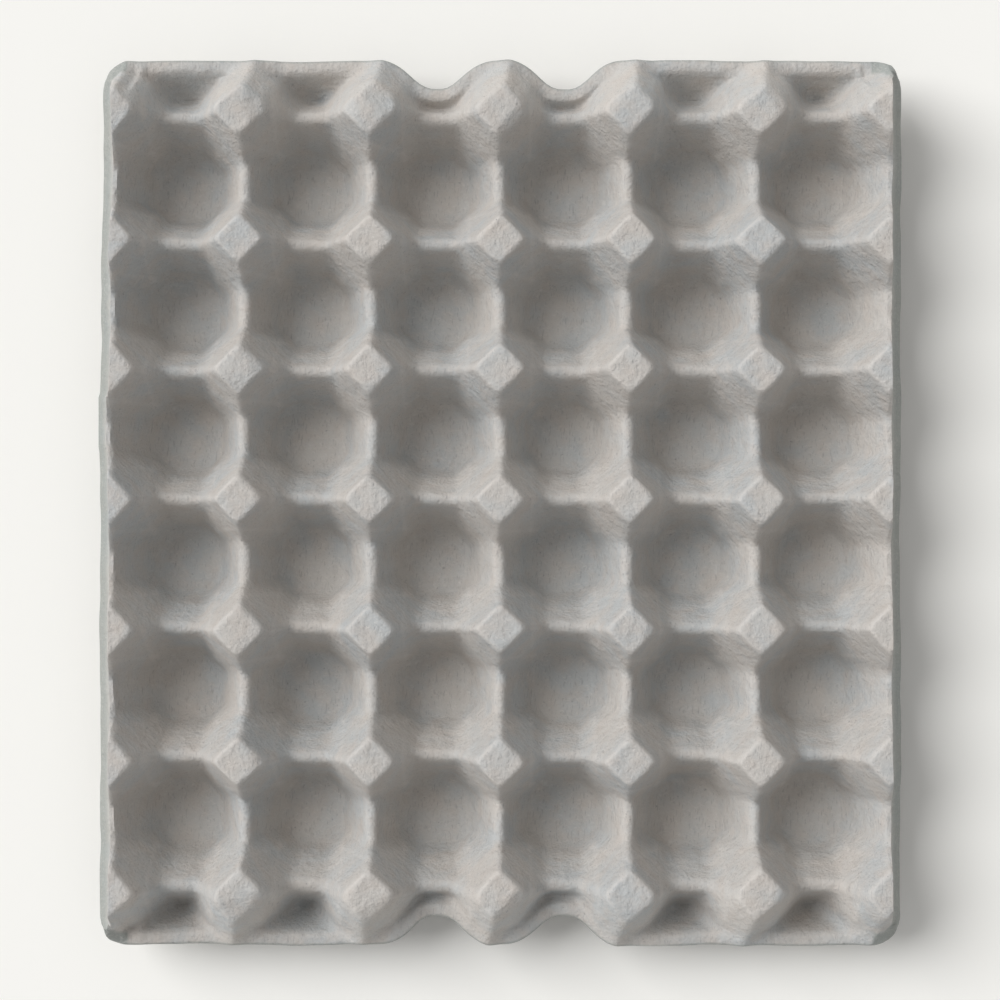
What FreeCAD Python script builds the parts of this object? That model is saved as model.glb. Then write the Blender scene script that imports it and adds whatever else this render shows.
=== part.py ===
import FreeCAD, Part
import math
import os

# Pulp egg tray: one moulded sheet of pulp, drawn in millimetres.
# Z is up. The origin is the middle of the tray, on the plane that its pocket floors stand on.
# X runs across to the two plain sides. Y runs to the two ends with a ledge and finger notches.

doc = FreeCAD.newDocument("pulp_egg_tray")

# Driving sizes
SIZES = [
    ("columns", 6, "pockets along X"),
    ("rows", 6, "pockets along Y"),
    ("pitch", 47.5, "from one pocket centre to the next"),
    ("wall", 2.0, "thickness of the pulp"),
    ("tray_height", 48.0, "from the plane it stands on to the post tops"),
    ("post_half_diagonal", 9.2, "centre to corner of a post's diamond top"),
    ("saddle_height", 28.0, "top of the low ridge between two pockets"),
    ("saddle_width", 3.5, "width of that ridge"),
    ("floor_half_width", 12.0, "pocket centre to a straight edge of its floor"),
    ("floor_half_diagonal", 13.0, "pocket centre to a slanted edge of its floor"),
    ("side_margin", 7.5, "outermost posts to the side edge"),
    ("side_wall_gap", 8.2, "side edge to the pocket wall at saddle height"),
    ("side_top_inset", 7.4, "side edge to the side face at the post tops"),
    ("side_crest_inset", 4.8, "side edge to the side face where the skirt starts"),
    ("side_crest_height", 30.0, "height where the skirt starts to flare"),
    ("side_crest_rise", 1.5, "skirt or saddles, whichever are higher, to the flat top beside a pocket"),
    ("end_margin", 22.5, "outermost posts to the end edge"),
    ("rim_bottom", 21.0, "lower edge of the skirt and of the ledge's lip"),
    ("ledge_height", 25.0, "top of the ledge along each end"),
    ("ledge_width", 4.3, "width of that ledge"),
    ("ridge_end_height", 31.0, "height of a post's ridge at the end edge"),
    ("ridge_half_width", 8.8, "half width of that ridge at the ledge's inner line"),
    ("trough_height", 9.0, "bottom of the trough between two ridges"),
    ("trough_floor", 1.5, "width of the trough's bottom along Y"),
    ("notch_mouth", 32.0, "finger notch, width at the end edge"),
    ("notch_floor", 9.0, "finger notch, width at its bottom"),
    ("notch_depth", 10.5, "finger notch, depth from the end edge"),
    ("notch_mouth_radius", 7.0, "rounding of the notch's outer corners"),
    ("notch_floor_radius", 5.0, "rounding of the notch's inner corners"),
    ("corner_radius", 11.0, "rounding of the tray's corners"),
    ("overlap", 0.5, "how far one cut runs into the next"),
]
sheet = doc.addObject("Spreadsheet::Sheet", "Sizes")
for line, (alias, value, meaning) in enumerate(SIZES, start=1):
    sheet.set("A%d" % line, alias.replace("_", " "))
    sheet.set("B%d" % line, str(value))
    sheet.set("C%d" % line, meaning)
    sheet.setAlias("B%d" % line, alias)
doc.recompute()


def size(alias):
    return float(sheet.get(alias))


columns = int(size("columns"))
rows = int(size("rows"))
pitch = size("pitch")
half = pitch / 2.0
wall = size("wall")
top = size("tray_height")
saddle = size("saddle_height")
ledge = size("ledge_height")
overlap = size("overlap")
crest = max(saddle, size("side_crest_height")) + size("side_crest_rise")
post_line_x = columns * half
post_line_y = rows * half
edge_x = post_line_x + size("side_margin")
edge_y = post_line_y + size("end_margin")
above = top + overlap
below = -overlap


def column_x(column):
    return (column + 0.5) * pitch - post_line_x


def row_y(row):
    return (row + 0.5) * pitch - post_line_y


# Flat-faced solids
def prismoid(lower, upper, z_lower, z_upper):
    # a solid between two level outlines whose edges are parallel
    low = [FreeCAD.Vector(x, y, z_lower) for x, y in lower]
    high = [FreeCAD.Vector(x, y, z_upper) for x, y in upper]
    faces = [Part.Face(Part.makePolygon(low + low[:1])), Part.Face(Part.makePolygon(high + high[:1]))]
    for i in range(len(low)):
        j = (i + 1) % len(low)
        faces.append(Part.Face(Part.makePolygon([low[i], low[j], high[j], high[i], low[i]])))
    solid = Part.Solid(Part.Shell(faces))
    if solid.Volume < 0:
        solid.reverse()
    return solid


# Pockets: eight slanted walls up to the saddles, and four of them on up to the post tops.
# A wall along a side of the tray goes on up to the side's flat crest.
# Every wall is given as its reach from the pocket's centre at a height. The hollow is drawn
# twice: with grow = 0 for the inner face, and grown by the wall for the outer face.
def straight_slope(reach_at_saddle):
    return (reach_at_saddle - size("floor_half_width")) / (saddle - wall)


inner_slope = straight_slope(half - size("saddle_width") / 2.0)
side_slope = straight_slope(half + size("side_margin") - size("side_wall_gap"))
corner_at_floor = size("floor_half_diagonal") * math.sqrt(2.0)
corner_slope = (pitch - size("post_half_diagonal") - corner_at_floor) / (top - wall)


def straight_reach(height, slope, grow):
    return size("floor_half_width") + slope * (height - wall) + grow * math.hypot(1.0, slope)


def corner_reach(height, grow):
    # the sum of X and Y on a slanted corner wall
    return corner_at_floor + corner_slope * (height - wall) + grow * math.sqrt(2.0 + corner_slope ** 2)


def octagon(left, right, front, back, corner):
    return [(right, right - corner), (right, corner - right), (corner - back, back), (back - corner, back),
            (-left, corner - left), (-left, left - corner), (front - corner, -front), (corner - front, -front)]


def pocket_space(side_left, side_right, grow):
    over_saddle = half + overlap
    over_crest = half + size("side_margin") - size("side_crest_inset") + overlap + grow

    def section(height, joined, cleared):
        reaches = []
        for is_side in (side_left, side_right, False, False):
            if is_side and cleared:
                reaches.append(over_crest)
            elif joined and not is_side:
                reaches.append(over_saddle)
            else:
                reaches.append(straight_reach(height, side_slope if is_side else inner_slope, grow))
        return octagon(*reaches, corner_reach(height, grow))

    floor = wall - grow
    waist = saddle - grow
    flat = crest - grow
    lower = prismoid(section(floor, False, False), section(waist, False, False), floor, waist)
    middle = prismoid(section(waist, True, False), section(flat, True, False), waist, flat)
    upper = prismoid(section(flat, True, True), section(above, True, True), flat, above)
    return lower.fuse([middle, upper]).removeSplitter()


# Ends: beyond the outermost posts a ridge runs from each post to the end edge, and a trough with
# a steep end wall lies between two ridges, under the level of the ledge. Here X is 0 on a pocket's
# centre line, and Y is 0 on the post line and grows outward.
ledge_line = size("end_margin") - size("ledge_width")
trough = size("trough_height")
outside = size("end_margin") + overlap
flank_start = corner_reach(saddle, 0.0) - half
flank_at_ledge = half - size("ridge_half_width")
flank_turn = (flank_at_ledge - flank_start - corner_slope * (ledge - saddle)) / ledge_line
roof_spread = (size("end_margin") - size("post_half_diagonal")) / (top - size("ridge_end_height"))
near_start = size("saddle_width") / 2.0
trough_line = near_start + inner_slope * (saddle - trough) + size("trough_floor")
end_slope = (ledge_line - trough_line) / (ledge - trough)


def near_wall(height, grow):
    return near_start + inner_slope * (saddle - height) - grow * math.hypot(1.0, inner_slope)


def end_wall(height, grow):
    return ledge_line - end_slope * (ledge - height) + grow * math.hypot(1.0, end_slope)


def between_flanks(near, far, height, grow):
    reach = flank_start + corner_slope * (height - saddle)
    reach = reach + grow * math.sqrt(1.0 + corner_slope ** 2 + flank_turn ** 2)
    a = reach + flank_turn * near
    b = reach + flank_turn * far
    return [(-a, near), (a, near), (b, far), (-b, far)]


def between_roofs(near, height, grow):
    # the space over the roofs of two ridges, which starts from a point where near is None
    edge = half - size("post_half_diagonal") - roof_spread * (top - height)
    edge = edge + grow * math.sqrt(2.0 + roof_spread ** 2)
    side = half + overlap
    if near is None:
        near = overlap - edge
    return [(-edge - near, near), (edge + near, near), (side, side - edge), (side, side + pitch),
            (-side, side + pitch), (-side, side - edge)]


def notch_core(grow):
    # what is left standing between a finger notch and the trough; it widens downward
    run_x = (size("notch_mouth") - size("notch_floor")) / 2.0
    length = math.hypot(run_x, size("notch_depth"))
    along_x = run_x / length
    along_y = size("notch_depth") / length

    def section(height):
        shift = size("ledge_width") + end_slope * (ledge - height) - grow * math.hypot(1.0, end_slope)
        near = size("end_margin") - size("notch_depth") - shift
        a = size("notch_floor") / 2.0 + shift * (1.0 - along_x) / along_y
        b = a + (outside - near) * along_x / along_y
        return [(-a, near), (a, near), (b, outside), (-b, outside)]

    return prismoid(section(below), section(ledge), below, ledge)


def ridge_cover(grow):
    shelf = ledge - grow
    return prismoid(between_roofs(None, shelf, grow), between_roofs(-overlap, above, grow), shelf, above)


def end_space(notched, grow):
    low = trough - grow
    shelf = ledge - grow
    waist = saddle - grow
    dig = prismoid(
        between_flanks(near_wall(low, grow), end_wall(low, grow), low, grow),
        between_flanks(near_wall(shelf, grow), end_wall(shelf, grow), shelf, grow), low, shelf)
    if notched:
        dig = dig.cut(notch_core(grow))
    middle = prismoid(
        between_flanks(near_wall(shelf, grow), outside, shelf, grow),
        between_flanks(near_wall(waist, grow), outside, waist, grow), shelf, waist)
    upper = prismoid(
        between_flanks(-overlap, outside, waist, grow),
        between_flanks(-overlap, outside, above, grow), waist, above)
    return dig.fuse([middle, upper, ridge_cover(grow)]).removeSplitter()


def notch_columns():
    # the two middle pockets of an end, or the middle one where the count is odd
    middle = (columns - 1) / 2.0
    return sorted({math.floor(middle), math.ceil(middle)})


def hollow_spaces(grow):
    spaces = []
    kinds = {}
    for column in range(columns):
        kind = (column == 0, column == columns - 1)
        if kind not in kinds:
            kinds[kind] = pocket_space(kind[0], kind[1], grow)
        for row in range(rows):
            spaces.append(kinds[kind].translated(FreeCAD.Vector(column_x(column), row_y(row), 0)))
    plain_end = end_space(False, grow)
    notched_end = end_space(True, grow)
    corner_end = ridge_cover(grow)
    for column in range(-1, columns + 1):
        end = notched_end if column in notch_columns() else plain_end
        if column in (-1, columns):
            end = corner_end
        for turn in (0, 180):
            placed = end.translated(FreeCAD.Vector(column_x(column), post_line_y, 0))
            placed.rotate(FreeCAD.Vector(0, 0, 0), FreeCAD.Vector(0, 0, 1), turn)
            spaces.append(placed)
    return Part.makeCompound(spaces)


# Outline seen from above, with rounded corners and two finger notches at each end
def rounded_face(corners):
    # corners are (x, y, radius), and each becomes an arc
    arcs = []
    for i, (x, y, radius) in enumerate(corners):
        after = corners[(i + 1) % len(corners)]
        here = FreeCAD.Vector(x, y, 0)
        back = (FreeCAD.Vector(corners[i - 1][0], corners[i - 1][1], 0) - here).normalize()
        ahead = (FreeCAD.Vector(after[0], after[1], 0) - here).normalize()
        half_angle = back.getAngle(ahead) / 2.0
        trim = radius / math.tan(half_angle)
        middle = here + (back + ahead).normalize() * (radius / math.sin(half_angle) - radius)
        arcs.append((here + back * trim, middle, here + ahead * trim))
    edges = []
    for i, (start, middle, stop) in enumerate(arcs):
        edges.append(Part.Arc(start, middle, stop).toShape())
        edges.append(Part.LineSegment(stop, arcs[(i + 1) % len(arcs)][0]).toShape())
    return Part.Face(Part.Wire(edges))


def plan_face():
    mouth = size("notch_mouth") / 2.0
    floor = size("notch_floor") / 2.0
    bottom = edge_y - size("notch_depth")
    end_points = [(edge_x, edge_y, size("corner_radius"))]
    for column in reversed(notch_columns()):
        x = column_x(column)
        end_points.append((x + mouth, edge_y, size("notch_mouth_radius")))
        end_points.append((x + floor, bottom, size("notch_floor_radius")))
        end_points.append((x - floor, bottom, size("notch_floor_radius")))
        end_points.append((x - mouth, edge_y, size("notch_mouth_radius")))
    end_points.append((-edge_x, edge_y, size("corner_radius")))
    return rounded_face(end_points + [(-x, -y, radius) for x, y, radius in end_points])


def profile_face():
    # the sides lean in to the post tops, and flare out below the crest as a skirt
    bend = edge_x - size("side_crest_inset")
    shoulder = edge_x - size("side_top_inset")
    right = [(edge_x, below - wall - overlap), (edge_x, size("rim_bottom")),
             (bend, size("side_crest_height")), (shoulder, top)]
    outline = right + [(-x, z) for x, z in reversed(right)]
    points = [FreeCAD.Vector(x, 0, z) for x, z in outline]
    return Part.Face(Part.makePolygon(points + points[:1]))


# Document objects
def feature(name, shape):
    item = doc.addObject("Part::Feature", name)
    item.Shape = shape
    return item


def combine(kind, name, base, tool):
    item = doc.addObject(kind, name)
    item.Base = base
    item.Tool = tool
    return item


def block(name, face, direction, length):
    item = doc.addObject("Part::Extrusion", name)
    item.Base = face
    item.DirMode = "Custom"
    item.Dir = direction
    item.Solid = True
    item.setExpression("LengthFwd", length)
    return item


def inset(name, face):
    item = doc.addObject("Part::Offset2D", name)
    item.Source = face
    item.setExpression("Value", "-Sizes.wall")
    return item


UP = FreeCAD.Vector(0, 0, 1)
ALONG = FreeCAD.Vector(0, 1, 0)
TRAY_LENGTH = "Sizes.rows * Sizes.pitch + 2 * Sizes.end_margin"

plan = feature("PlanOutline", plan_face())
profile = feature("SideProfile", profile_face())
plan_block = block("PlanBlock", plan, UP, "Sizes.tray_height")
profile_block = block("ProfileBlock", profile, ALONG, TRAY_LENGTH)
profile_block.setExpression("Placement.Base.y", "-(Sizes.rows * Sizes.pitch / 2 + Sizes.end_margin)")
outer_form = combine("Part::Common", "OuterForm", plan_block, profile_block)

inner_plan_block = block("InnerPlanBlock", inset("InnerPlan", plan), UP, "Sizes.tray_height - Sizes.wall")
inner_profile_block = block("InnerProfileBlock", inset("InnerProfile", profile), ALONG, TRAY_LENGTH)
inner_profile_block.setExpression("Placement.Base.y", "-(Sizes.rows * Sizes.pitch / 2 + Sizes.end_margin)")
inner_form = combine("Part::Common", "InnerForm", inner_plan_block, inner_profile_block)

below_rim = doc.addObject("Part::Box", "BelowRim")
below_rim.setExpression("Length", "Sizes.columns * Sizes.pitch + 4 * Sizes.side_margin")
below_rim.setExpression("Width", "Sizes.rows * Sizes.pitch + 4 * Sizes.end_margin")
below_rim.setExpression("Height", "Sizes.rim_bottom + Sizes.overlap")
below_rim.setExpression("Placement.Base.x", "-(Sizes.columns * Sizes.pitch / 2 + 2 * Sizes.side_margin)")
below_rim.setExpression("Placement.Base.y", "-(Sizes.rows * Sizes.pitch / 2 + 2 * Sizes.end_margin)")
below_rim.setExpression("Placement.Base.z", "-Sizes.overlap")

underside = combine("Part::Fuse", "Underside", inner_form, below_rim)
hollow_back = combine("Part::Cut", "HollowBack", underside, feature("GrownSpaces", hollow_spaces(wall)))
pocketed = combine("Part::Cut", "PocketedForm", outer_form, feature("PocketSpaces", hollow_spaces(0.0)))
tray = combine("Part::Cut", "Tray", pocketed, hollow_back)
tray.Label = "egg_tray"
doc.recompute()

# Checks and files
for item in doc.Objects:
    if "Invalid" in item.State or "Error" in item.State:
        raise RuntimeError("%s did not build: %s" % (item.Name, item.State))
if tray.Shape.isNull() or not tray.Shape.isValid():
    raise RuntimeError("the tray's shape is not valid")
if len(tray.Shape.Solids) != 1:
    raise RuntimeError("the tray is %d solids, not one" % len(tray.Shape.Solids))

os.makedirs("parts", exist_ok=True)
tray.Shape.Solids[0].exportStep("parts/%s.step" % tray.Label)
box = tray.Shape.BoundBox
print("egg_tray: %.2f x %.2f x %.2f mm, %.1f cm3, %d faces" % (
    box.XLength, box.YLength, box.ZLength, tray.Shape.Volume / 1000.0, len(tray.Shape.Faces)))
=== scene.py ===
import math

import bpy
import numpy as np
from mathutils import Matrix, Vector, noise


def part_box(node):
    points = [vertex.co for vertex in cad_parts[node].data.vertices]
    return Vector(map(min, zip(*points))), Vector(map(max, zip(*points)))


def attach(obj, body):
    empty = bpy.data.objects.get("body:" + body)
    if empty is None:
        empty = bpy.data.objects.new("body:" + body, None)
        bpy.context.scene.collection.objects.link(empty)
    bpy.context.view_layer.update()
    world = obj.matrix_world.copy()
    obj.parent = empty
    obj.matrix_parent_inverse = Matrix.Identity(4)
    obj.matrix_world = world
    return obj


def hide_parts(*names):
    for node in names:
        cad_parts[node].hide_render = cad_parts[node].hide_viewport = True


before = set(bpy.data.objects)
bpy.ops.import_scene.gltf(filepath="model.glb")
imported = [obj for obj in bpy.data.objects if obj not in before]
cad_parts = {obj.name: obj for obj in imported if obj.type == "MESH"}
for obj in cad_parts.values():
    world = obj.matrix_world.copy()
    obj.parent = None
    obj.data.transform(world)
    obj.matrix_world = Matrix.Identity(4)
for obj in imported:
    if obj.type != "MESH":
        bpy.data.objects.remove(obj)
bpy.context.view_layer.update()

bl_info = {
    "name": "Pulp Egg Tray",
    "version": (1, 0, 0),
    "blender": (4, 5, 0),
    "location": "View3D > Sidebar > Egg Tray",
    "description": "Builds a moulded pulp egg tray and a plain studio round it",
    "category": "Mesh",
}

MM = 0.001
NODE = "egg_tray"
LOW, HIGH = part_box(NODE)


def linear(hex_colour):
    """An sRGB hex colour as the linear RGBA that shaders and lamps use."""
    rgba = []
    for i in (1, 3, 5):
        c = int(hex_colour[i:i + 2], 16) / 255.0
        rgba.append(c / 12.92 if c <= 0.04045 else ((c + 0.055) / 1.055) ** 2.4)
    return (*rgba, 1.0)


def length(name, description, default):
    return bpy.props.FloatProperty(
        name=name, description=description, default=default, min=0.0, subtype="DISTANCE", unit="LENGTH")


def colour(name, description, default):
    return bpy.props.FloatVectorProperty(
        name=name, description=description, default=linear(default),
        size=4, min=0.0, max=1.0, subtype="COLOR")


class TrayShape(bpy.types.PropertyGroup):
    """Sizes of the moulded sheet."""
    columns: bpy.props.IntProperty(name="Columns", description="Pockets from side to side", default=6, min=2)
    rows: bpy.props.IntProperty(name="Rows", description="Pockets from end to end", default=6, min=2)
    pitch: length("Pitch", "From one pocket centre to the next", 0.0475)
    wall: length("Wall", "Thickness of the pulp", 0.002)
    height: length("Height", "From the floor to the post tops", HIGH.z - LOW.z)
    post: length("Post", "Centre to corner of a post's diamond top", 0.0092)
    saddle: length("Saddle height", "Top of the low ridges between pockets", 0.028)
    saddle_width: length("Saddle width", "Width of the low ridges", 0.0035)
    floor_flat: length("Floor flats", "Pocket centre to a straight edge of its floor", 0.012)
    floor_corner: length("Floor corners", "Pocket centre to a slanted edge of its floor", 0.013)
    side_gap: length("Side gap", "Side edge to the pocket wall at saddle height", 0.0082)
    side_top: length("Side top", "Side edge to the side face at the post tops", 0.0074)
    skirt: length("Skirt", "How far the skirt flares out", 0.0048)
    skirt_height: length("Skirt height", "Where the skirt starts to flare", 0.030)
    crest_rise: length("Crest rise", "Skirt to the flat crest beside a pocket", 0.0015)
    crest_width: length("Crest width", "Width of the sides' crest from post to post", 0.0016)
    rim: length("Rim", "Lower edge of the skirt and of the lip", 0.021)
    ledge: length("Ledge height", "Top of the ledge along each end", 0.025)
    ledge_width: length("Ledge width", "Width of that ledge", 0.0043)
    ridge_end: length("Ridge end", "Height of a ridge at the end edge", 0.031)
    ridge_half: length("Ridge half width", "Half width of a ridge at the ledge", 0.0088)
    trough: length("Trough", "Bottom of the trough between two ridges", 0.009)
    notch_mouth: length("Notch mouth", "Width of a finger notch at the edge", 0.032)
    notch_floor: length("Notch floor", "Width of a finger notch at its bottom", 0.009)
    notch_depth: length("Notch depth", "Depth of a finger notch", 0.0105)
    corner: length("Corner", "Rounding of the tray's corners", 0.011)
    trough_floor: length("Trough floor", "Width of the trough's flat bottom", 0.0015)
    lean_top: length("Lean at the top end", "How far the ridges drift to the right", 0.0034)
    lean_bottom: length("Lean at the bottom end", "How far the ridges drift to the left", 0.0045)
    ridge_sink: length("Ridge sink", "How far a ridge sinks toward the end edge", 0.0035)
    corner_sink: length("Corner sink", "How far a corner ridge sinks there", 0.0055)
    corner_rise: length("Corner rise", "How far the skirt turns up round the corner", 0.010)
    hem_edge: length("Hem edge", "Thickness of the skirt's lower edge", 0.0006)
    edge_soft: length("Edge rounding", "How round the pulp's edges are", 0.0011)
    drift: length("Drift", "How far the posts sit nearer to the top end", 0.0014)
    waviness: length("Waviness", "How far the sheet strays from its mould", 0.0005)


class PulpFinish(bpy.types.PropertyGroup):
    """Colours and grain of the pulp, with a painted edge highlight and painted shade on the skirt and lip."""
    body: colour("Body", "The pulp itself", "#c4c0bb")
    cool: colour("Cool patches", "Where more newsprint ended up", "#babcbc")
    warm: colour("Warm patches", "Where more brown board ended up", "#c4bbb3")
    # painted highlight: this colour lightens convex edges and ridge tops, and is also the colour of the pale
    # single fibres
    fibre_and_highlight: colour("Pale fibres and edge highlight", "Pale single fibres, and painted highlight on convex edges", "#d8d3ce")
    # painted shade: the skirt and lip are darkened toward this colour
    rim_shade: colour("Rim shade", "Painted shade on the skirt and lip", "#989d99")
    fleck: colour("Flecks", "Specks of printed paper", "#757478")
    grain: length("Grain", "Size of the felted grain", 0.0007)


class StudioLook(bpy.types.PropertyGroup):
    """Floor, lamps and camera."""
    floor: colour("Floor", "Paper sweep under the tray", "#f6f5f1")
    camera_height: length("Camera height", "Lens above the floor", 0.859)
    view_width: length("View width", "What the photo's width spans at the post tops", 0.3619)
    key: bpy.props.FloatProperty(name="Key lamp", description="Broad light from the left", default=2.65)
    key_spread: bpy.props.FloatProperty(
        name="Key spread", description="How wide that light is, which softens the shadows",
        default=math.radians(42.0), subtype="ANGLE")
    fill: bpy.props.FloatProperty(name="Fill", description="Even light from all round", default=0.42)


# Folds in post tops, by column and row: direction in degrees, distance from the centre, slope
FOLDS = {
    (1, 6): ((5.0, 2.6, 0.45), (-130.0, 5.0, 0.4)),
    (2, 6): ((62.0, 0.6, 0.5), (150.0, 2.2, 0.4), (-40.0, 4.6, 0.6)),
    (3, 6): ((-42.0, 3.4, 0.7), (120.0, 4.0, 0.3)),
    (4, 6): ((138.0, 3.0, 0.4), (-80.0, 5.5, 0.5)),
    (5, 6): ((40.0, 4.6, 0.6),),
    (2, 5): ((-88.0, 5.4, 0.6),),
    (3, 5): ((-150.0, 5.0, 0.45),),
    (5, 5): ((170.0, 5.6, 0.5),),
    (1, 4): ((28.0, 3.2, 0.45), (-100.0, 3.6, 0.4), (140.0, 4.8, 0.4)),
    (2, 4): ((-60.0, 5.4, 0.6),),
    (4, 4): ((95.0, 5.2, 0.4),),
    (2, 3): ((15.0, 5.6, 0.5),),
    (5, 3): ((-125.0, 4.4, 0.5),),
    (1, 2): ((70.0, 5.4, 0.45),),
    (4, 2): ((-20.0, 5.0, 0.5),),
    (1, 1): ((8.0, 4.6, 0.5),),
    (3, 1): ((-110.0, 5.2, 0.5),),
    (5, 1): ((50.0, 5.4, 0.5),),
    (1, 0): ((-78.0, 0.4, 0.35), (-48.0, 3.8, 0.8)),
    (2, 0): ((-62.0, 2.4, 0.4), (160.0, 5.0, 0.4)),
    (3, 0): ((-45.0, 3.2, 0.75),),
    (4, 0): ((-95.0, 3.6, 0.35),),
    (5, 0): ((-30.0, 4.8, 0.5),),
}

# Creases elsewhere, in millimetres: x, y, direction in degrees, half length, depth, half width
CREASES = (
    (-133.5, 157.0, 80.0, 6.0, -1.6, 1.1),
    (-136.2, 155.0, 70.0, 5.5, 1.3, 1.2),
    (-81.6, 162.0, 90.0, 3.0, 0.9, 1.0),
    (-147.0, 32.0, 12.0, 6.0, 1.3, 1.4),
    (-146.0, 27.5, -25.0, 5.0, -0.8, 1.3),
    (-147.0, 82.0, 0.0, 4.0, 0.9, 1.3),
    (-145.5, 100.0, 70.0, 7.0, 0.5, 0.8),
    (-147.5, -96.0, 20.0, 4.0, 0.8, 1.2),
    (-147.5, -113.7, 50.0, 5.0, 1.0, 1.2),
    (-146.5, -122.6, 0.0, 6.0, 1.1, 1.1),
    (-140.5, -157.0, 95.0, 5.0, -1.2, 1.1),
    (-137.5, -158.0, 88.0, 5.0, 1.0, 1.2),
    (-133.5, -158.5, 85.0, 5.0, -1.1, 1.2),
    (134.5, 157.5, 100.0, 6.0, -1.4, 1.1),
    (138.0, 154.0, 125.0, 6.0, 1.2, 1.3),
    (97.0, 160.5, 95.0, 3.0, 0.9, 1.0),
    (140.0, -156.0, 60.0, 6.0, 1.1, 1.2),
    (147.0, -64.0, 10.0, 4.0, 0.7, 1.3),
    (-52.0, -161.5, 80.0, 3.0, 0.8, 1.0),
)


# How widely two faces of the mould run into each other, in millimetres
EDGE_BLEND = 1.2        # crests, brows, ridge tops and the edge of the side face
LEDGE_BLEND = 0.9       # inner edge of the ledge
TOP_BLEND = 1.6         # round the diamond tops
ROOF_BLEND = 1.5        # a ridge's flank and its roof
SKIRT_BLEND = 2.0       # skirt and side face, post and pocket walls
SADDLE_BLEND = 2.5      # over the low ridges
WALL_BLEND = 3.0        # between two walls of a pocket, and at a notch's mouth
TROUGH_BLEND = 3.5      # bottom of a trough
NOTCH_BLEND = 5.0       # bottom of a finger notch
FLOOR_BLEND = 6.0       # round a pocket's floor
FOOT_BLEND = 7.0        # foot of a ridge's flank
FOLD_BLEND = 0.4        # folds in the post tops

KEPT_INSIDE = 0.998     # draws the wavy sheet in a little, so that it stays inside the solid's box


def higher(a, b, soft):
    """The higher of two heights, rounded where they cross."""
    gap = np.maximum(soft - np.abs(a - b), 0.0)
    return np.maximum(a, b) + gap * gap / (4.0 * soft)


def lower(a, b, soft):
    """The lower of two heights, rounded where they cross."""
    return -higher(-a, -b, soft)


def ease(t):
    """0 below 0, 1 above 1, and a smooth rise between."""
    t = np.clip(t, 0.0, 1.0)
    return t * t * (3.0 - 2.0 * t)


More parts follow.
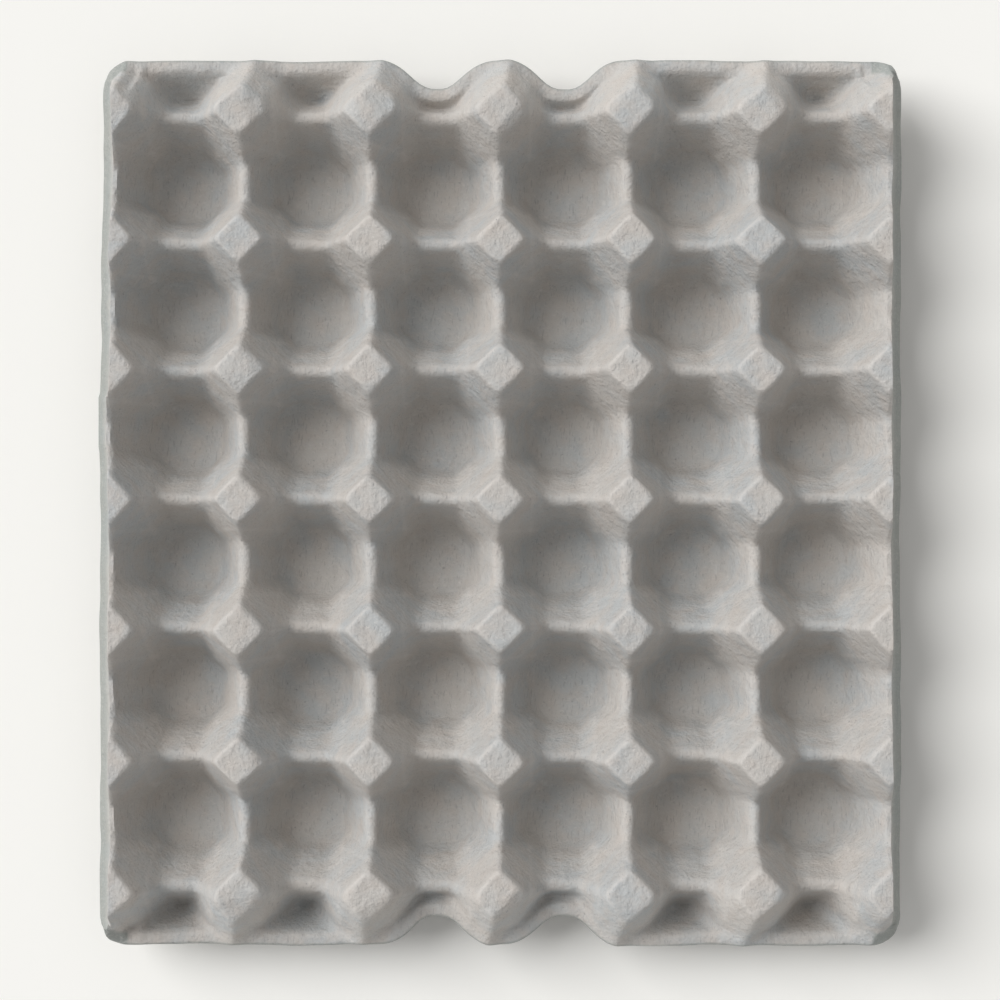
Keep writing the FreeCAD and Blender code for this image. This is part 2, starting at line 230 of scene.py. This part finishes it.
class Mould:
    """The tray's surface as one height above each point of the plan, in millimetres.
    With grow = 0 it is the upper face, and with grow = wall it is the under face."""

    def __init__(self, shape):
        for name in TrayShape.__annotations__:
            value = getattr(shape, name)
            setattr(self, name, value if name in ("columns", "rows") else value / MM)
        self.half = self.pitch / 2.0
        self.post_x = self.columns * self.half
        self.post_y = self.rows * self.half
        self.edge_x = HIGH.x / MM
        self.edge_y = HIGH.y / MM
        self.margin = self.edge_y - self.post_y
        run = self.saddle - self.wall
        self.inner_slope = (self.half - self.saddle_width / 2.0 - self.floor_flat) / run
        side_reach = self.half + self.edge_x - self.post_x - self.side_gap
        self.side_slope = (side_reach - self.floor_flat) / run
        self.corner_start = self.floor_corner * math.sqrt(2.0)
        self.corner_slope = (self.pitch - self.post - self.corner_start) / (self.height - self.wall)
        self.ledge_line = self.margin - self.ledge_width
        self.flank_start = self.corner_start + self.corner_slope * run - self.half
        rise = self.corner_slope * (self.ledge - self.saddle)
        self.flank_turn = (self.half - self.ridge_half - self.flank_start - rise) / self.ledge_line
        self.roof_spread = (self.margin - self.post) / (self.height - self.ridge_end)
        near = self.saddle_width / 2.0 + self.inner_slope * (self.saddle - self.trough)
        self.end_slope = (self.ledge_line - near - self.trough_floor) / (self.ledge - self.trough)

        self.crest = max(self.saddle, self.skirt_height) + self.crest_rise
        self.face_lean = (self.side_top - self.skirt) / (self.height - self.skirt_height)
        face_start = self.half + self.edge_x - self.post_x - self.skirt + self.skirt_height * self.face_lean
        self.brow_start = face_start - self.corner_start + self.wall * self.corner_slope

    def ridge_round(self, distance):
        # takes the point off a ridge, and fades out away from it
        return np.sqrt(distance * distance + self.edge_soft ** 2) - np.abs(distance)

    def cell(self, x, count):
        # the pocket that a place belongs to, and how far the place is from its centre
        line = count * self.half
        index = np.clip(np.floor((x + line) / self.pitch), 0, count - 1)
        return x - ((index + 0.5) * self.pitch - line), index

    def leaning(self, x, out, sign):
        # the ridges of each end lean sideways as they go out
        lean = np.where(sign > 0, self.lean_top, -self.lean_bottom)
        return x - lean * np.clip(out / self.margin, 0.0, 1.0)

    def end_line(self, x):
        # how far the end edge stands out from the post line
        reach = np.full_like(x, self.margin)
        middle = (self.columns - 1) / 2.0
        for column in sorted({math.floor(middle), math.ceil(middle)}):
            across = np.abs(x - ((column + 0.5) * self.pitch - self.post_x))
            side = (across - self.notch_floor / 2.0) / (self.notch_mouth - self.notch_floor) * 2.0
            zero = np.zeros_like(x)
            depth = higher(side * self.notch_depth, zero, WALL_BLEND)
            depth = lower(depth, zero + self.notch_depth, NOTCH_BLEND)
            reach = np.minimum(reach, reach - self.notch_depth + depth)
        return reach

    def edge_distances(self, x, y):
        """How far inside the side edge and inside the end edge a place is. Both follow the round corner."""
        out = np.abs(y) - self.post_y
        reach = self.end_line(x)
        lean = np.gradient(reach, axis=0) / np.gradient(x, axis=0)
        to_side = self.edge_x - np.abs(x)
        to_end = (reach - out) / np.sqrt(1.0 + lean ** 2)
        across = self.corner - to_side
        along = self.corner - (self.edge_y - np.abs(y))
        curved = self.corner - np.hypot(across, along)
        corner = (across > 0) & (along > 0)
        return np.where(corner, curved, to_side), np.where(corner, curved, to_end), across, along

    def side_face(self, x, y, grow):
        # the steep side face and the flared skirt below it, wrapped round the corner
        steep = (self.height - self.skirt_height) / (self.side_top - self.skirt)
        flare = (self.skirt_height - self.rim) / self.skirt
        to_side, _, across, along = self.edge_distances(x, y)
        turned = ease(np.arctan2(along, across) * 2.0 / math.pi)
        face = self.height + (to_side - self.side_top - grow * math.hypot(1, 1 / steep)) * steep
        hem = self.rim + (to_side - grow * math.hypot(1, 1 / flare)) * flare * (1.0 + 3.0 * turned)
        return higher(face, hem, SKIRT_BLEND) + np.where(across > 0, turned * self.corner_rise, self.height)

    def pocket(self, x, y, grow):
        u, column = self.cell(x, self.columns)
        v, _ = self.cell(y, self.rows)
        ax, ay = np.abs(u), np.abs(v)
        outward = ((column == 0) & (u < 0)) | ((column == self.columns - 1) & (u > 0))
        slope = np.where(outward, self.side_slope, self.inner_slope)
        cap = np.full_like(x, self.saddle - grow)
        wall_x = self.wall + (ax - self.floor_flat - grow * np.sqrt(1 + slope ** 2)) / slope
        top = np.where(outward, self.crest - grow, cap)
        wall_x = lower(wall_x, top, np.where(outward, EDGE_BLEND, SADDLE_BLEND))
        wall_y = ay - self.floor_flat - grow * math.hypot(1, self.inner_slope)
        wall_y = lower(self.wall + wall_y / self.inner_slope, cap, SADDLE_BLEND)
        rounding = self.ridge_round(self.half - ay) + np.where(outward, 0.0, self.ridge_round(self.half - ax))
        reach = ax + ay - rounding - self.corner_start - grow * math.sqrt(2 + self.corner_slope ** 2)
        corner = lower(self.wall + reach / self.corner_slope, cap - self.saddle + self.height, TOP_BLEND)
        brow = (self.brow_start + ay - self.crest_width) / (self.face_lean + self.corner_slope)
        brow = np.clip(brow, self.crest, self.height) - grow
        corner = np.where(outward, lower(corner, brow, EDGE_BLEND), corner)
        base = higher(wall_x, wall_y, WALL_BLEND)
        base = higher(base, cap - self.saddle + self.wall, FLOOR_BLEND)
        return higher(base, corner, SKIRT_BLEND)

    def end(self, x, y, out, grow):
        # the ridges, troughs and ledge beyond the last row of posts
        shifted = self.leaning(x, out, y)
        ax = np.abs(self.cell(shifted, self.columns)[0])
        beyond = np.abs(shifted) > self.post_x
        aside = np.abs(self.half - ax)
        flat = np.zeros_like(x) - grow
        rounding = self.ridge_round(out) + self.ridge_round(aside)
        flank = ax - rounding - self.flank_start - self.flank_turn * out
        flank = flank - grow * math.sqrt(1 + self.corner_slope ** 2 + self.flank_turn ** 2)
        flank = np.where(beyond, self.height * 2.0, self.saddle + flank / self.corner_slope)
        roof = aside + self.ridge_round(aside) + out - self.post + grow * math.sqrt(2 + self.roof_spread ** 2)
        roof = self.height - roof / self.roof_spread + 4.0 * np.exp(-out / 1.5)
        at_corner = ease((np.abs(x) - self.post_x + 12.0) / 10.0)
        sink = self.ridge_sink + (self.corner_sink - self.ridge_sink) * at_corner
        sink = sink * ease((out - 6.0) / 14.0)
        ridge = lower(lower(flank, roof - sink, ROOF_BLEND), flat + self.height, EDGE_BLEND)
        near = out - self.saddle_width / 2.0 + grow * math.hypot(1, self.inner_slope)
        near = lower(self.saddle - near / self.inner_slope, flat + self.saddle, SADDLE_BLEND)
        inward = self.edge_distances(x, y)[1]
        wall = inward - self.ledge_width + grow * math.hypot(1, self.end_slope)
        wall = lower(self.ledge - wall / self.end_slope, flat + self.ledge, LEDGE_BLEND)
        base = higher(higher(near, wall, TROUGH_BLEND), flat + self.trough, TROUGH_BLEND)
        return higher(base, ridge, FOOT_BLEND)

    def upper(self, x, y):
        height = self.dented(x, y, self.unbounded(x, y, 0.0), 0.0)
        hem = self.rim + self.hem_edge
        height = lower(height, np.maximum(self.side_face(x, y, 0.0), hem), EDGE_BLEND)
        inward = np.clip(self.edge_distances(x, y)[1], 0.0, self.edge_soft)
        drop = self.edge_soft - np.sqrt(self.edge_soft ** 2 - (self.edge_soft - inward) ** 2)
        height = np.where(height > hem + drop, height - drop, height)
        creased = np.maximum(self.creased(x, y, height), hem)
        return np.where(height > hem, creased, height)

    def rim_share(self, x, y):
        """1 on the skirt and the lip, 0 on the rest of the tray."""
        to_side, to_end, _, _ = self.edge_distances(x, y)
        return np.maximum(1.0 - ease((to_side - self.skirt) / 0.8 + 0.5), 1.0 - ease(to_end / self.edge_soft))

    def under(self, x, y):
        to_side, to_end, _, _ = self.edge_distances(x, y)
        face = np.maximum(self.side_face(x, y, self.wall), self.rim)
        face = np.where(np.minimum(to_side, to_end) < self.wall * 0.8, self.rim, face)
        return np.minimum(self.dented(x, y, self.unbounded(x, y, self.wall), self.wall), face)

    def dented(self, x, y, z, grow):
        """Every post top a little out of level, and the folds that handling left in some of them."""
        for column in range(self.columns + 1):
            for row in range(self.rows + 1):
                across = x - (column * self.pitch - self.post_x)
                along = y - (row * self.pitch - self.post_y)
                near = np.hypot(across, along) < self.half * 0.62
                across, along, height = across[near], along[near], z[near]
                tilt_x = 0.06 * noise.noise(Vector((column * 1.7, row * 2.3, 5.1)))
                tilt_y = 0.06 * noise.noise(Vector((column * 1.7, row * 2.3, 8.6)))
                level = self.height - grow + across * tilt_x + along * tilt_y - self.post * 0.03
                height = lower(height, level, 0.5)
                for angle, start, slope in FOLDS.get((column, row), ()):
                    turn = math.radians(angle)
                    past = across * math.cos(turn) + along * math.sin(turn) - start
                    folded = level + 0.2 - slope * higher(past, 0.0 * past, FOLD_BLEND)
                    height = lower(height, folded, FOLD_BLEND)
                z[near] = height
        return z

    def side_sway(self, x, y):
        """The left side stands in a little near the top end, and is buckled out for a short way below it."""
        left = ease((-x - self.post_x + 6.0) / 8.0)
        buckle = ease((y - 17.0) / 4.0) * ease((40.0 - y) / 3.0)
        upper = ease((y - 30.0) / 90.0)
        return left * (0.35 + 1.1 * upper - 0.9 * buckle)

    def creased(self, x, y, z):
        """Short grooves and raised folds along the sides, the ledges and the corners."""
        for place_x, place_y, angle, span, depth, width in CREASES:
            turn = math.radians(angle)
            across, along = x - place_x, y - place_y
            forward = across * math.cos(turn) + along * math.sin(turn)
            aside = along * math.cos(turn) - across * math.sin(turn)
            z = z - depth * np.exp(-((aside / width) ** 2) - (forward / span) ** 4)
        return z

    def unbounded(self, x, y, grow):
        out = np.abs(y) - self.post_y
        return np.where(out > 0.0, self.end(x, y, np.maximum(out, 0.0), grow), self.pocket(x, y, grow))

    def across(self, count):
        # lines over the pockets: close together round each post line, on the posts' diamond edges
        fine = np.arange(11) * self.post / 8.0
        coarse = np.linspace(fine[-1], self.half, 7)[1:]
        half_cell = np.concatenate([fine, coarse])
        cell = np.concatenate([half_cell, self.pitch - half_cell[-2:0:-1]])
        lines = np.concatenate([cell + i * self.pitch for i in range(count)] + [[count * self.pitch]])
        return lines - count * self.half

    def crest_line(self, y):
        """Where the pocket walls meet the side face, for each line across the tray."""
        x = self.post_x + np.linspace(0.2, self.edge_x - self.post_x - self.skirt - 0.2, 240)
        gx, gy = np.meshgrid(x, y, indexing="ij")
        above = self.unbounded(gx, gy, 0.0) > self.side_face(gx, gy, 0.0)
        crest = np.where(above.any(axis=0), x[above.argmax(axis=0)], x[-1])
        return np.clip(crest, self.post_x + 0.5, x[-1])

    def plan(self):
        # lines of the plan: over the pockets, and fitted to the outline over the margins
        x = self.across(self.columns)
        side = self.post_x + np.arange(1, 7) / 6.0 * (self.edge_x - self.post_x)
        x = np.concatenate([-side[::-1], x, side])
        near = np.linspace(0.0, self.ledge_line, 12)[1:]
        end = self.post_y + np.concatenate([near, self.margin - np.array([2.7, 1.2, 0.35, 0.0])])
        y = np.concatenate([-end[::-1], self.across(self.rows), end])
        crest = self.crest_line(y)
        skirt = self.edge_x - self.skirt
        inner = np.maximum(crest - self.crest_width, self.post_x + 0.25)
        fitted = [inner, crest, (crest + skirt) / 2, skirt, (skirt + self.edge_x) / 2, self.edge_x]
        gx, gy = np.meshgrid(x, y, indexing="ij")
        for line, places in enumerate(fitted):
            gx[len(x) - len(fitted) + line] = places
            gx[len(fitted) - 1 - line] = -places
        out = np.abs(gy) - self.post_y
        reach = self.end_line(gx)
        start = 3.0
        squeeze = (reach - self.ledge_width - start) / (self.ledge_line - start)
        out = np.where(out > start, start + (out - start) * squeeze, out)
        on_ledge = np.abs(gy) > self.post_y + self.ledge_line + 0.01
        out = np.where(on_ledge, reach - self.edge_y + np.abs(gy), out)
        gy = np.sign(gy) * (self.post_y + out)
        # the corners: a square patch drawn in to a quarter circle
        u = 1.0 - (self.edge_x - np.abs(gx)) / self.corner
        v = 1.0 - (self.edge_y - np.abs(gy)) / self.corner
        inside = (u > 0) & (v > 0)
        round_u = u * np.sqrt(1 - np.clip(v, 0, 1) ** 2 / 2)
        round_v = v * np.sqrt(1 - np.clip(u, 0, 1) ** 2 / 2)
        gx = np.where(inside, np.sign(gx) * (self.edge_x - self.corner * (1.0 - round_u)), gx)
        gy = np.where(inside, np.sign(gy) * (self.edge_y - self.corner * (1.0 - round_v)), gy)
        return gx, gy


def field(x, y, size, seed):
    """Smooth noise over the plan, about -1 to 1."""
    flat = [noise.noise(Vector((a / size, b / size, seed))) for a, b in zip(x.ravel(), y.ravel())]
    return np.array(flat).reshape(x.shape) * 1.6


def add_grid(name, x, y, z):
    """A primitive grid whose points are moved to the given places, in millimetres."""
    rows, points = x.shape
    bpy.ops.mesh.primitive_grid_add(x_subdivisions=points - 1, y_subdivisions=rows - 1, size=2.0)
    grid = bpy.context.object
    grid.name = name
    places = np.stack([x.ravel(), y.ravel(), z.ravel()], axis=1) * MM
    grid.data.vertices.foreach_set("co", places.ravel())
    grid.data.update()
    return grid


def deselect():
    bpy.ops.object.select_all(action="DESELECT")


def add_node(tree, kind, links=(), **settings):
    """Adds a shader node with its settings, and links (from node, output, to input)."""
    node = tree.nodes.new(kind)
    for name, value in settings.items():
        if name in node.inputs:
            node.inputs[name].default_value = value
        else:
            setattr(node, name, value)
    for source, output, socket in links:
        tree.links.new(source.outputs[output], node.inputs[socket])
    return node


def convexity(height, reach):
    """How far each point stands above the points round it: over 0 on edges, under 0 in creases."""
    total = np.zeros_like(height)
    for shift in (-reach, reach):
        for axis in (0, 1):
            total += np.roll(height, shift, axis=axis)
    return np.clip((height - total / 4.0) / 1.2, -1.0, 1.0)


class EGGTRAY_OT_sheet(bpy.types.Operator):
    """Moulds the tray as one closed sheet of pulp"""
    bl_idname = "mesh.egg_tray_sheet"
    bl_label = "Mould Tray"
    bl_options = {"REGISTER", "UNDO"}

    def execute(self, context):
        shape = context.scene.tray_shape
        mould = Mould(shape)
        x, y = mould.plan()
        top, under = mould.upper(x, y), mould.under(x, y)
        rim = mould.rim_share(x, y)
        stray = shape.waviness / MM
        shift_x = stray * (field(x, y, 36.0, 3.0) + 0.5 * field(x, y, 12.0, 9.0))
        shift_y = stray * (field(x, y, 36.0, 15.0) + 0.5 * field(x, y, 12.0, 27.0))
        rise = stray * 0.35 * field(x, y, 9.0, 33.0)
        shift_y = shift_y + mould.drift * (1.0 - (y / mould.edge_y) ** 2)
        shift_x = shift_x + mould.side_sway(x, y)
        mid = np.minimum(top, mould.height) / mould.height
        x = np.clip((x + shift_x) * KEPT_INSIDE, -mould.edge_x, mould.edge_x)
        y = np.clip((y + shift_y) * KEPT_INSIDE, -mould.edge_y, mould.edge_y)
        top = np.clip(top + rise * mid, mould.wall * 0.9, mould.height)
        under = np.clip(under + rise * mid, 0.0, top - mould.hem_edge)
        raised = convexity(top, 1)
        deselect()
        sheet = add_grid("pulp_sheet", x, y, top)
        back = add_grid("pulp_back", x, y, under)
        for grid in (sheet, back):
            # raised carries the painted highlight on convex edges, and rim the painted shade on the skirt and
            # lip
            for name, values in (("raised", raised), ("rim", rim)):
                attribute = grid.data.attributes.new(name, "FLOAT", "POINT")
                attribute.data.foreach_set("value", values.ravel())
        bpy.ops.object.mode_set(mode="EDIT")
        bpy.ops.mesh.select_all(action="SELECT")
        bpy.ops.mesh.flip_normals()
        bpy.ops.object.mode_set(mode="OBJECT")
        deselect()
        back.select_set(True)
        sheet.select_set(True)
        context.view_layer.objects.active = sheet
        bpy.ops.object.join()
        bpy.ops.object.mode_set(mode="EDIT")
        bpy.ops.mesh.select_mode(type="EDGE")
        bpy.ops.mesh.select_all(action="DESELECT")
        bpy.ops.mesh.select_non_manifold()
        bpy.ops.mesh.bridge_edge_loops()
        bpy.ops.mesh.select_all(action="SELECT")
        bpy.ops.mesh.quads_convert_to_tris(quad_method="SHORTEST_DIAGONAL")
        bpy.ops.mesh.normals_make_consistent(inside=False)
        bpy.ops.object.mode_set(mode="OBJECT")
        bpy.ops.object.shade_smooth_by_angle(angle=math.radians(60.0))
        sheet.data.materials.clear()
        sheet.data.materials.append(pulp_material(context.scene.pulp_finish))
        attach(sheet, "root")
        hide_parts(NODE)
        deselect()
        return {"FINISHED"}


def pulp_material(finish):
    """Moulded newsprint pulp. What gives it to the eye: matt, felted grey in uneven patches, single fibres,
    specks of print, paler convex edges as a painted highlight and a darker skirt and lip as painted shade."""
    material = bpy.data.materials.new("moulded newsprint pulp")
    material.use_nodes = True
    tree = material.node_tree
    tree.nodes.clear()
    place = add_node(tree, "ShaderNodeTexCoord")
    per_mm = 1.0 / MM

    def speckle(size, detail, roughness=0.55):
        return add_node(tree, "ShaderNodeTexNoise", [(place, "Object", "Vector")],
                        Scale=per_mm / size, Detail=detail, Roughness=roughness)

    def ramp(source, low, high):
        return add_node(tree, "ShaderNodeMapRange", [(source, 0, "Value")],
                        **{"From Min": low, "From Max": high})

    def mix(factor, first, second, blend="MIX"):
        node = add_node(tree, "ShaderNodeMix", data_type="RGBA", blend_type=blend)
        for source, socket in ((factor, 0), (first, 6), (second, 7)):
            if isinstance(source, tuple):
                node.inputs[socket].default_value = source
            else:
                output = 2 if source.bl_idname == "ShaderNodeMix" else 0
                tree.links.new(source.outputs[output], node.inputs[socket])
        return node

    patches = ramp(speckle(26.0, 3.0), 0.40, 0.62)
    small_patches = ramp(speckle(7.0, 4.0), 0.42, 0.66)
    tone = mix(patches, tuple(finish.body), tuple(finish.cool))
    part = add_node(tree, "ShaderNodeMath", [(small_patches, 0, 0)], operation="MULTIPLY")
    part.inputs[1].default_value = 0.5
    tone = mix(part, tone, tuple(finish.warm))
    raised = add_node(tree, "ShaderNodeAttribute", attribute_name="raised")
    # painted highlight: convex edges and ridge tops are lightened toward the pale colour
    edges = add_node(tree, "ShaderNodeMapRange", [(raised, "Fac", "Value")],
                     **{"From Min": 0.15, "From Max": 0.9})
    edge_highlight = add_node(tree, "ShaderNodeMath", [(edges, 0, 0)], operation="MULTIPLY")
    edge_highlight.inputs[1].default_value = 0.45
    tone = mix(edge_highlight, tone, tuple(finish.fibre_and_highlight))
    # painted shade: the skirt and lip are darkened toward the rim shade colour
    rim = add_node(tree, "ShaderNodeAttribute", attribute_name="rim")
    rim_shade_part = add_node(tree, "ShaderNodeMath", [(rim, "Fac", 0)], operation="MULTIPLY")
    rim_shade_part.inputs[1].default_value = 0.8
    tone = mix(rim_shade_part, tone, tuple(finish.rim_shade))
    specks = ramp(speckle(1.6, 2.0), 0.68, 0.78)
    speck_part = add_node(tree, "ShaderNodeMath", [(specks, 0, 0)], operation="MULTIPLY")
    speck_part.inputs[1].default_value = 0.45
    tone = mix(speck_part, tone, tuple(finish.fleck))
    # single fibres, lying in three directions: two paler than the sheet and one darker
    for turn, strand_colour in ((0.3, finish.fibre_and_highlight), (1.5, finish.fleck), (2.5, finish.fibre_and_highlight)):
        laid = add_node(tree, "ShaderNodeMapping", [(place, "Object", "Vector")], vector_type="TEXTURE",
                        Rotation=(0.4, 0.2, turn), Scale=(7.0, 1.0, 1.0))
        strand = add_node(tree, "ShaderNodeTexNoise", [(laid, 0, "Vector")],
                          Scale=per_mm / 0.6, Detail=1.0, Roughness=0.5)
        strand = add_node(tree, "ShaderNodeMapRange", [(strand, 0, "Value")],
                          **{"From Min": 0.60, "From Max": 0.72, "To Max": 0.26})
        tone = mix(strand, tone, tuple(strand_colour))
    felt = speckle(finish.grain / MM * 2.0, 5.0, 0.7)
    lumps = speckle(4.5, 3.0)
    fine = add_node(tree, "ShaderNodeBump", [(felt, 0, "Height")], Strength=0.8, Distance=0.0008)
    coarse = add_node(tree, "ShaderNodeBump", [(lumps, 0, "Height"), (fine, 0, "Normal")],
                      Strength=0.7, Distance=0.0013)
    shader = add_node(tree, "ShaderNodeBsdfPrincipled", [(tone, 2, "Base Color"), (coarse, 0, "Normal")],
                      Roughness=0.92, IOR=1.45)
    add_node(tree, "ShaderNodeOutputMaterial", [(shader, 0, "Surface")])
    return material


class EGGTRAY_OT_studio(bpy.types.Operator):
    """Adds the pale floor, the lamps and the camera"""
    bl_idname = "scene.egg_tray_studio"
    bl_label = "Add Studio"
    bl_options = {"REGISTER", "UNDO"}

    def execute(self, context):
        look = context.scene.studio_look
        deselect()
        bpy.ops.mesh.primitive_plane_add(size=6.0, location=(0.0, 0.0, LOW.z - 0.0002))
        floor = context.object
        floor.name = "paper_floor"
        material = bpy.data.materials.new("matt white paper")
        material.use_nodes = True
        paper = material.node_tree.nodes["Principled BSDF"]
        paper.inputs["Base Color"].default_value = tuple(look.floor)
        paper.inputs["Roughness"].default_value = 0.95
        floor.data.materials.append(material)
        place = Vector((-1.08, 0.55, 1.15))
        aim = (-place).to_track_quat("-Z", "Y").to_euler()
        bpy.ops.object.light_add(type="SUN", location=place, rotation=aim)
        lamp = context.object
        lamp.name = "key_lamp"
        lamp.data.energy = look.key
        lamp.data.angle = look.key_spread
        world = bpy.data.worlds.new("studio_light")
        world.use_nodes = True
        world.node_tree.nodes["Background"].inputs["Color"].default_value = linear("#ffffff")
        world.node_tree.nodes["Background"].inputs["Strength"].default_value = look.fill
        context.scene.world = world
        bpy.ops.object.camera_add(location=(0.0, 0.0011, look.camera_height), rotation=(0.0, 0.0, 0.0))
        camera = context.object
        camera.name = "photo_camera"
        reach = look.camera_height - HIGH.z
        camera.data.sensor_width = 36.0
        camera.data.lens = camera.data.sensor_width * reach / look.view_width
        camera.data.clip_start = 0.01
        context.scene.camera = camera
        context.scene.view_settings.view_transform = "Standard"
        deselect()
        return {"FINISHED"}


class EGGTRAY_PT_panel(bpy.types.Panel):
    """The tray's sizes, finish and studio"""
    bl_label = "Pulp Egg Tray"
    bl_idname = "EGGTRAY_PT_panel"
    bl_space_type = "VIEW_3D"
    bl_region_type = "UI"
    bl_category = "Egg Tray"

    def draw(self, context):
        scene = context.scene
        for group in (scene.tray_shape, scene.pulp_finish, scene.studio_look):
            box = self.layout.box()
            for name in type(group).__annotations__:
                box.prop(group, name)
        self.layout.operator("mesh.egg_tray_sheet")
        self.layout.operator("scene.egg_tray_studio")


CLASSES = (TrayShape, PulpFinish, StudioLook, EGGTRAY_OT_sheet, EGGTRAY_OT_studio, EGGTRAY_PT_panel)


def register():
    for cls in CLASSES:
        bpy.utils.register_class(cls)
    bpy.types.Scene.tray_shape = bpy.props.PointerProperty(type=TrayShape)
    bpy.types.Scene.pulp_finish = bpy.props.PointerProperty(type=PulpFinish)
    bpy.types.Scene.studio_look = bpy.props.PointerProperty(type=StudioLook)


def unregister():
    del bpy.types.Scene.studio_look
    del bpy.types.Scene.pulp_finish
    del bpy.types.Scene.tray_shape
    for cls in reversed(CLASSES):
        bpy.utils.unregister_class(cls)


def main():
    register()
    bpy.ops.mesh.egg_tray_sheet()
    bpy.ops.scene.egg_tray_studio()


if __name__ == "__main__":
    main()
